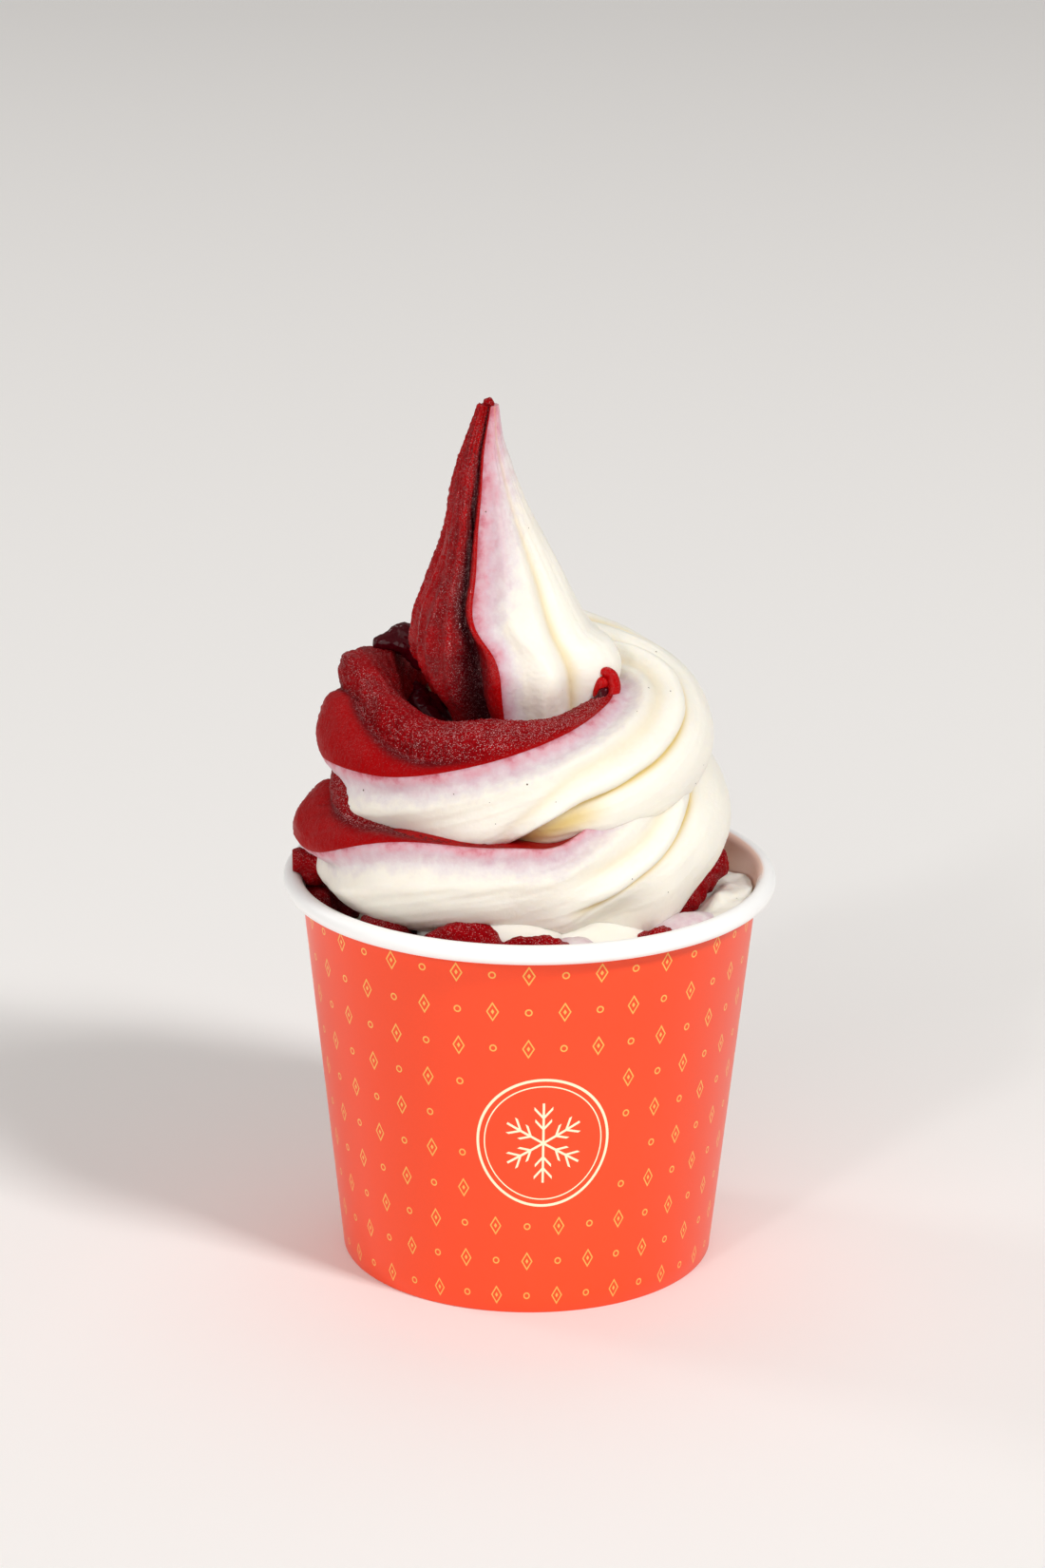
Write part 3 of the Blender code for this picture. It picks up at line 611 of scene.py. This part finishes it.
def fold_depth(angle, border, ledge, strength):
    """Depth of the fold, exp of minus (the angle to it over its width)^1.25, where the width
    is half the ledge on the ledge; of a hollow in the ledge; of the cream's bevel beside
    the border, with a ridge under it; and of a dip at the other border."""
    above = border - SHELF * ledge - angle
    width = np.where(above > 0, 16, np.clip(0.5 * SHELF * ledge, 3, 22))
    depth = (0.08 + 0.3 * ledge) * strength * np.exp(-(np.abs(above) / width) ** 1.25)
    depth += 0.1 * strength * ledge * near(angle, border - 0.55 * SHELF * ledge, 20)
    depth += 0.075 * near(angle, border + 15, 9) - 0.03 * near(angle, border + 31, 6)
    return depth + 0.05 * near(angle, BORDER_BACK - 10, 14)


def flutes(turn, angle, top):
    """Depth of the cream's flutes, and the painted shade in them.

    A sharp edge runs along the cream at the angle line, with painted shade along it. Under it
    the outline steps in by a recess that wears off as exp of minus (the angle past the line
    over its reach), and above it lie a ridge and a groove. The pocket in front is a deeper
    stretch of the recess. The edge, the groove and the pocket get painted shade. A crease,
    also with painted shade, replaces the edge where the rope is hidden.
    """
    pocket = window(turn, 624, 636, 648, 664)
    seam = window(turn, 286, 302, 480, 520) + eased((turn - 622) / 18)
    hidden = 1 - window(turn, 150, 180, 374, 398) - window(turn, 536, 560, 734, 760)
    line = 329 + 8 * window(turn, 280, 300, 310, 335) + 42 * top * (1 - eased((turn - 618) / 34))
    drop = angle - line
    recess = (0.2 + 0.05 * pocket) * np.exp(-np.maximum(drop, 0) / (15 + 12 * pocket))
    step = recess / (1 + np.exp(-drop / 1.5))
    groove = np.where(top, 0.05, 0.08) * near(angle, line - 30, 9)
    depth = seam * (groove - 0.05 * near(angle, line - 11, 6) + step)
    depth = depth + 0.11 * hidden * crease(angle, 8, 12, 3.5)
    # painted shade: along the edge and the groove, in the pocket and in the hidden crease
    dark = seam * (near(angle, line + 2, 4) + 0.25 * near(angle, line - 30, 7))
    return depth, dark + 0.9 * pocket * near(drop, 20, 16) + 0.5 * hidden * near(angle, 8, 6)


def fullness(turn, angle, border, top):
    """How much fuller than round the rope is, or thinner: bells and windows along the turn
    times bells over the nozzle angle. A bell comes back after 360 degrees, so those
    without a limit act on both coils."""
    lower = window(turn, 180, 200, 300, 330)
    face, foot = near(angle, 300, 28), near(angle, 352, 24)
    total = 0
    for size, along, across in (
            # the top coil's lower lobe hangs over the lower coil, from the left to the front
            (0.34, window(turn, 528, 556, 612, 634), near(angle, 346, 30)),
            # its face is fuller at the front left, and thinner at the left end
            (0.14, top * near(turn, 574, 16), face),
            (-0.2, top * near(turn, 544, 13), face),
            # the lower coil's lower edge waves
            (0.09, lower * near(turn, 214, 16), foot),
            (0.108, lower * near(turn, 291, 18), foot),
            (-0.054, lower * near(turn, 254, 16), foot),
            # a full lower left corner, with the cream drawn in under the border above it
            (0.1, near(turn, 210, 15), near(angle, 342, 22)),
            (-0.17, window(turn, 160, 180, 200, 224), near(angle, border + 20, 15)),
            # the underside hangs lower, right of the front and beside the pocket
            (0.5, window(turn, 276, 290, 316, 342), near(angle, turn + 98, 30)),
            (0.19, near(turn, 641, 11), near(angle, 398, 25))):
        total = total + size * along * across
    return total


def sunken(turn, angle, fold, bowl):
    """Depth by which the rope's upper side sinks behind the fold: a broad step towards the
    front of both coils, a sharp one in front of the lower coil, and two more behind a
    ridge in the bowl at the left of the top coil."""
    above = fold - angle
    inside = np.where(angle > 300, angle - 360, angle)
    upper = inside > 60
    up = fold - inside
    back = eased((inside + 25) / 50)
    broad = 0.34 * window(turn, 518, 558, 584, 628) + 0.36 * window(turn, 202, 236, 298, 322)
    depth = broad * np.where(upper, eased((up + 3) / 14), back)
    depth -= 0.05 * bowl * np.exp(-((above - 36) / 7) ** 2)
    depth += 0.12 * window(turn, 262, 272, 296, 310) * eased((above + 1) / 5) * upper
    steps = 0.05 * eased((up - 54) / 10) + 0.11 * eased((up - 92) / 16)
    return depth + bowl * np.where(upper, steps, 0.16 * back)


def coil_outline(turn, angle, border):
    """Share of the rope's radius, 1 less the fold, the flutes and the sunken upper side
    and more where it is full; painted crease shade; and frost, which lies above the fold
    and thins out deep in the bowl."""
    turn = turn[:, None]
    top = turn > TOP_COIL
    ledge, strength = berry_fold(turn, top)
    fold = border - SHELF * ledge
    bowl = window(turn, 492, 515, 565, 612)
    fluted, dark = flutes(turn, angle, top)
    share = 1 - fold_depth(angle, border, ledge, strength) - fluted
    share += fullness(turn, angle, border, top) - sunken(turn, angle, fold, bowl)
    # painted shade in the berry's fold crease and in the cream's flutes
    deep = np.where(angle < border, 0.6 * strength * near(angle, fold - 2, 5), dark)
    above = fold - angle
    frost = 0.1 + 0.9 * eased((above + 2) / 9) * (1 - 0.65 * bowl * eased((above - 34) / 12))
    return share, np.clip(deep, 0, 1), frost


def peak_outline(height, angle, border):
    """Share of the peak's radius; painted shade in its valley and creases; and frost.

    The share is 1 less a valley in the berry beside the border, the flutes, a bevel and a
    crease in the cream and the waist at the lower left, and more at the ridges beside
    them and at two swellings of the foot.
    """
    height = height[:, None]
    low = 1 - eased((height - 128) / 34)
    foot = 1 - eased((height - 117) / 6)
    near_foot = 1 - eased((height - 125) / 8)
    valley = border - 9 - 11 * near_foot
    share = 1 - (0.11 + 0.15 * near_foot) * near(angle, valley, 3.6 + 5.4 * near_foot)
    for depth, at, width in PEAK_FLUTES:
        share -= depth * near(angle, at, width)
    share += 0.04 * near(angle, border - 3.5, 4 + 2 * near_foot)
    share += 0.05 * (1 - foot) * near(angle, 176, 6)
    share -= 0.05 * near(angle, border + 13, 8) - 0.03 * near(angle, border + 27, 5)
    share -= (0.03 + 0.09 * low) * crease(angle, 309, 10, 4)
    share += 0.03 * low * near(angle, 297, 6)
    # swellings of the foot, right and front left
    share += 0.14 * near(angle, 345, 26) * window(height, 106, 116, 128, 130.6)
    share += 0.14 * near(height, 118.5, 5) * near(angle, 222, 12)
    # waist, with a small ridge along its edge
    left = 180 + 24 * foot
    share -= 0.3 * foot / (1 + np.exp((angle - left) / 2)) * window(angle, 80, 130, 230, 240)
    share += 0.05 * foot * near(angle, left + 3, 4)
    # painted shade along the cream's crease, and in the berry's valley and a band at 215 degrees
    creased = (0.2 + 0.3 * low) * near(angle, 309, 4)
    dark = near(angle, valley - 2, 6 + 6 * near_foot) + 0.3 * near(angle, 215, 12)
    deep = np.where(angle < border, dark, creased)
    frost = 0.5 + 0.5 * near(angle, border - 24, 14) + 0.4 * near(angle, 176, 6)
    return share, np.clip(deep, 0, 1), np.clip(frost, 0, 1)


def flavour(name, path, outline, berry, count, look, node_name, rough, breaks, blush=1.0):
    """One flavour of a stretch of rope: its side of the outline, shut by a hidden face.

    Bumps push the surface out along its normal: crystals where frost lies, small bumps,
    strands along the rope and broad waves, with their heights in rough. edge is the
    distance in mm along the outline to the nearer flavour border, times blush; deep how
    much painted crease shade it gets; frost how thick the ice crystals lie. The stretch
    is made in pieces that meet at the breaks.
    """
    centre, along, radius, roll, border, back = path
    first, last = (back, border) if berry else (border, back + 360)
    angle = first[:, None] + (last - first)[:, None] * np.linspace(0, 1, count)[None, :]
    share, deep, frost = outline(angle, border[:, None])
    points = lay(centre, along, roll, radius[:, None] * share, angle)
    away = np.minimum(angle - first[:, None], last[:, None] - angle)
    edge = np.radians(away) * radius[:, None]
    # strands are ten times as long as wide
    length = np.concatenate([[0], np.cumsum(np.linalg.norm(np.diff(centre, axis=0), axis=1))])
    strand = np.stack(np.broadcast_arrays(length[:, None] * 0.1, np.radians(angle) * 13.0, 0.0), -1)
    icy, bumpy, stringy, wavy = rough
    push = icy * grain(points, 0.9, 3) * (0.3 + 0.7 * frost) + bumpy * grain(points, 1.9, 4)
    push += stringy * grain(strand, 1.6, 5) + wavy * grain(points, 9.0, 6)
    points = points + normals(points, False) * (push * eased(edge / 1.2))[..., None]
    # the hidden face's corners: 0.45 of the radius out, 40 degrees in from the borders
    hidden_reach = np.repeat(radius[:, None] * 0.45, 2, 1)
    hidden = lay(centre, along, roll, hidden_reach, np.stack([last - 40, first + 40], 1))
    points = inside_cup(np.concatenate([points, hidden], 1))
    pad = np.zeros((len(radius), 2))
    fields = {key: np.concatenate([values, pad], 1)
              for key, values in (("edge", edge * blush), ("deep", deep), ("frost", frost))}
    for k, (start, end) in enumerate(zip(breaks[:-1], breaks[1:])):
        rows = slice(start, end + 1)
        part = {key: values[rows] for key, values in fields.items()}
        piece(f"{name}_{k + 1}", points[rows], [look], node_name, fields=part)


def lump(name, stations, look, node_name, rough, seed, edge, frost):
    """Rounded blob along a path: circles whose radius follows the stations and closes at
    both ends as the root of 1 - s^2, down to a fiftieth, pushed out by two sizes of bumps."""
    around, step, least = 72, 0.4, 0.0004
    table = np.array(stations, float)
    knots = np.arange(len(table))
    length = np.linalg.norm(np.diff(table[:, :3], axis=0), axis=1).sum() + table[0, 3] + table[-1, 3]
    rows = max(12, int(length / step))
    at = (len(table) - 1) * (1 - np.cos(np.linspace(0, np.pi, rows))) / 2
    centre = np.stack([spline(knots, table[:, k], at) for k in range(3)], 1)
    radius = spline(knots, table[:, 3], at)
    along = np.gradient(centre, axis=0)
    along /= np.maximum(np.linalg.norm(along, axis=1), 1e-9)[:, None]
    gone = np.concatenate([[0], np.cumsum(np.linalg.norm(np.diff(centre, axis=0), axis=1))])
    for left in (gone / table[0, 3], (gone[-1] - gone) / table[-1, 3]):
        radius = radius * np.sqrt(np.maximum(1 - (1 - np.clip(left, 0, 1)) ** 2, least))
    angle = np.broadcast_to(np.arange(around) * 360.0 / around, (rows, around))
    points = lay(centre, along, np.zeros(rows), np.repeat(radius[:, None], around, 1), angle)
    push = rough[0] * grain(points, 1.4, seed) + rough[1] * grain(points, 5.0, seed + 1)
    push = push * eased(radius / table[:, 3].max())[:, None]
    points = points + normals(points, True) * push[..., None]
    fields = {"edge": edge, "deep": 0.0, "frost": frost}
    piece(name, inside_cup(points), [look], node_name, fields=fields)


# ---------------------------------------------------------------- cup

def turned(name, outline, materials, node_name, face_looks=None):
    """Turn a closed outline of (radius, height) about the axis, from the back round to the
    back again, so that the seam of the UV map lies there."""
    outline = np.array(outline)
    front = np.linspace(-np.pi, np.pi, CUP_SIDES + 1)
    turn = front + 1.5 * np.pi
    points = np.stack([np.cos(turn)[:, None] * outline[:, 0], np.sin(turn)[:, None] * outline[:, 0],
                       np.broadcast_to(outline[:, 1], (CUP_SIDES + 1, len(outline)))], -1)
    uv = np.stack(np.broadcast_arrays(front[:, None] * PRINT_RADIUS, outline[:, 1]), -1)
    looks = None if face_looks is None else np.tile(face_looks, CUP_SIDES)
    made = piece(name, points, materials, node_name, ends=False, uv=uv, faces_of=looks)
    work = bmesh.new()
    work.from_mesh(made.data)
    bmesh.ops.remove_doubles(work, verts=work.verts, dist=1e-7)
    work.to_mesh(made.data)
    work.free()
    made.data.set_sharp_from_angle(angle=math.radians(BOARD_SHARP))


def cup(outside, inside):
    """Tapered wall with its rolled bead and the hem folded up inside the foot, and the
    raised bottom whose skirt stands between the wall and the hem."""
    roll = np.radians(np.linspace(180, -145, 28))
    bead = np.stack([RIM_RADIUS + BEAD_RADIUS * (np.cos(roll) - 1),
                     CUP_HEIGHT + BEAD_RADIUS * (np.sin(roll) - 1)], 1)
    heights = np.linspace(CUP_HEIGHT - 3.2, 0.35, 24)
    outer = np.stack([wall_radius(heights), heights], 1)
    foot = [(wall_radius(0) - 0.12, 0.08), (wall_radius(0) - 0.35, 0)]
    slot = PAPER + 2 * SEAM_GAP
    hem = BASE_RADIUS - 2 * PAPER - slot
    rise = wall_radius(HEM_HEIGHT) - wall_radius(0)
    neck = CUP_HEIGHT - 2 * BEAD_RADIUS
    folded = [(hem, 0), (hem + rise, HEM_HEIGHT), (wall_radius(HEM_HEIGHT) - PAPER - slot, HEM_HEIGHT),
              (wall_radius(PAPER) - PAPER - slot, PAPER), (wall_radius(PAPER) - PAPER, PAPER),
              (wall_radius(neck) - PAPER, neck)]
    outline = np.vstack([bead, outer, foot, folded])[::-1]
    # the print covers the outer wall; the rest is white
    looks = np.ones(len(outline), int)
    looks[len(folded):len(folded) + 1 + len(outer)] = 0
    turned("cup_wall_and_bead", outline, [outside, inside], "cup_wall", looks)
    skirt_out, skirt_in = PAPER + SEAM_GAP, 2 * PAPER + SEAM_GAP
    top, foot_at = BOTTOM_HEIGHT + PAPER, PAPER + SEAM_GAP
    round_out, round_in, pin = 0.4, 0.3, 0.01
    disc = [(pin, top), (wall_radius(top) - skirt_out - round_out, top),
            (wall_radius(top) - skirt_out, top - round_out),
            (wall_radius(foot_at) - skirt_out, foot_at), (wall_radius(foot_at) - skirt_in, foot_at),
            (wall_radius(BOTTOM_HEIGHT) - skirt_in, BOTTOM_HEIGHT - round_in),
            (wall_radius(BOTTOM_HEIGHT) - skirt_in - round_in, BOTTOM_HEIGHT), (pin, BOTTOM_HEIGHT)]
    turned("cup_raised_bottom", disc, [inside], "cup_bottom")


def contents(look):
    """Ice cream in the cup: its level plus bell-shaped hills over angle and radius, out to
    the wall, then down along it."""
    radius = np.linspace(2, FILL_RADIUS, 90)[:, None]
    turn = np.arange(360)[None, :]
    height = FILL_HEIGHT
    for at, wide, far, deep, rise in HILLS:
        height = height + rise * near(turn, at, wide) * np.exp(-((radius - far) / deep) ** 2)
    reach = radius / FILL_RADIUS * (wall_radius(height) - PAPER - FILL_GAP)
    a = np.radians(turn)
    top = np.stack([reach * np.cos(a), reach * np.sin(a), height], -1)
    top[..., 2] += 0.3 * grain(top, 7.0, 21) + 0.06 * grain(top, 2.2, 22)
    low = np.linspace(0.15, 1, 8)[:, None]
    down = top[-1][None, :, 2] * (1 - low) + 60 * low
    skirt_reach = wall_radius(down) - PAPER - FILL_GAP
    skirt = np.stack([skirt_reach * np.cos(a), skirt_reach * np.sin(a), down], -1)
    points = np.concatenate([top, skirt], 0)[::-1]
    fields = {"edge": 12.0, "deep": 0.0, "frost": 0.5}
    piece("vanilla_in_the_cup", points, [look], "vanilla_swirl", fields=fields)


# ---------------------------------------------------------------- set

def floor_and_light():
    """Pale matt floor; a key lamp high at the right, a wide fill and a small glint at the
    left in front, an edge light from behind left and a soft light from above."""
    made, tree, shader = finish("matt_pale_floor")
    fill(tree, shader, {"Base Color": linear("#F7F4F1"), "Roughness": 0.85})
    mesh = bpy.data.meshes.new("floor")
    mesh.from_pydata([(-6, -6, 0), (6, -6, 0), (6, 8, 0), (-6, 8, 0)], [], [(0, 1, 2, 3)])
    mesh.materials.append(made)
    floor = bpy.data.objects.new("floor", mesh)
    scene.collection.objects.link(floor)
    for name, (place, size, power) in LAMPS.items():
        lamp = bpy.data.lights.new(name, "AREA")
        lamp.size, lamp.energy = size, power
        placed = bpy.data.objects.new(name, lamp)
        placed.location = place
        placed.rotation_euler = (Vector(LAMP_AIM) - Vector(place)).to_track_quat("-Z", "Y").to_euler()
        scene.collection.objects.link(placed)
    scene.view_settings.view_transform = "Standard"
    world = bpy.data.worlds.new("studio")
    world.use_nodes = True
    background = world.node_tree.nodes["Background"]
    fill(world.node_tree, background, {0: linear("#FFFDFA"), 1: WORLD_STRENGTH})
    scene.world = world


def camera():
    """Camera of the photograph: pitched down, then rolled about the way it looks."""
    pitch, tilt = math.radians(CAMERA_PITCH), math.radians(CAMERA_ROLL)
    ahead = Vector((0, math.cos(pitch), -math.sin(pitch)))
    right = Vector((1, 0, 0))
    above = right.cross(ahead)
    side = right * math.cos(tilt) + above * math.sin(tilt)
    up = above * math.cos(tilt) - right * math.sin(tilt)
    data = bpy.data.cameras.new("camera")
    data.lens, data.sensor_width, data.clip_start = LENS, SENSOR, NEAREST
    made = bpy.data.objects.new("camera", data)
    place = Matrix((side, up, -ahead)).transposed().to_4x4()
    place.translation = CAMERA_PLACE
    made.matrix_world = place
    scene.collection.objects.link(made)
    scene.camera = made


def swirl(red, glazed_red, dark_wet_red_and_shade, cream):
    """Both flavours of the coils and the peak, what fills the cup, and the lumps."""
    # stations along the rope, closer where it shows
    turn = np.concatenate([np.linspace(-150, 150, 300, endpoint=False), np.linspace(150, 860, 1100)])
    breaks = [0, 300, 850, len(turn) - 1]
    coils = coil_path(turn)
    height = np.linspace(98, 173.6, 230)
    peak = peak_path(height)

    def around_coil(angle, border):
        return coil_outline(turn, angle, border)

    def around_peak(angle, border):
        return peak_outline(height, angle, border)

    # heights of crystals, small bumps, strands and waves
    icy = (0.1, 0.03, 0.04, 0.08)
    streaked = (0.07, 0.03, 0.14, 0.08)
    soft = (0.035, 0.012, 0.03, 0.06)
    ends = [0, len(height) - 1]
    # the peak's pink stain is narrower at its foot and wider above
    pale = 1.0 + 0.5 * (1 - eased((height - 124) / 12)) - 0.3 * eased((height - 132) / 8)
    flavour("berry_coil", coils, around_coil, True, 130, red, "berry_swirl", icy, breaks)
    flavour("vanilla_coil", coils, around_coil, False, 130, cream, "vanilla_swirl", soft, breaks)
    flavour("berry_peak", peak, around_peak, True, 150, glazed_red, "berry_swirl", streaked, ends)
    flavour("vanilla_peak", peak, around_peak, False, 150, cream, "vanilla_swirl", soft, ends,
            pale[:, None])
    contents(cream)
    # lumps of each finish: first seed, heights of small and broad bumps, and frost
    for kind, lumps, look, seed, rough, frost in (
            ("berry", BERRY_LUMPS, red, 40, (0.1, 0.32), 0.5),
            ("berry", WET_LUMPS, glazed_red, 70, (0.03, 0.08), 0.1),
            ("berry", DARK_WET_AND_SHADE_LUMPS, dark_wet_red_and_shade, 80, (0.12, 0.35), 0.5),
            ("vanilla", VANILLA_LUMPS, cream, 60, (0.04, 0.07), 0.5)):
        for k, (key, path) in enumerate(lumps.items()):
            edge = STAINED_EDGE if key in STAINED else CLEAN_EDGE
            lump(f"{kind}_{key}", path, look, f"{kind}_swirl", rough, seed + 3 * k, edge, frost)


red = sorbet("berry_sorbet_frosted", "#6A0006", "#AA000A", "#9C0003",
             gloss=0.4, crystals=1.0, grit=0.9, shine=0.14, wet=0.0)
glazed_red = sorbet("berry_sorbet_glazed", "#780007", "#C4000A", "#B00003",
                    gloss=0.22, crystals=0.85, grit=1.0, shine=0.25, wet=0.12)
# its near-black red is also the painted shade of the hollows it fills
dark_wet_red_and_shade = sorbet("berry_sorbet_wet_and_painted_shade", "#3A000A", "#4C000C", "#60020E",
                    gloss=0.3, crystals=0.04, grit=0.12, shine=0.05, wet=0.35)
cream = ice_cream("vanilla_ice_cream_churned", 0.4)
swirl(red, glazed_red, dark_wet_red_and_shade, cream)
cup(printed_board("cup_board_printed"), white_board("cup_board_white_coated"))
floor_and_light()
camera()
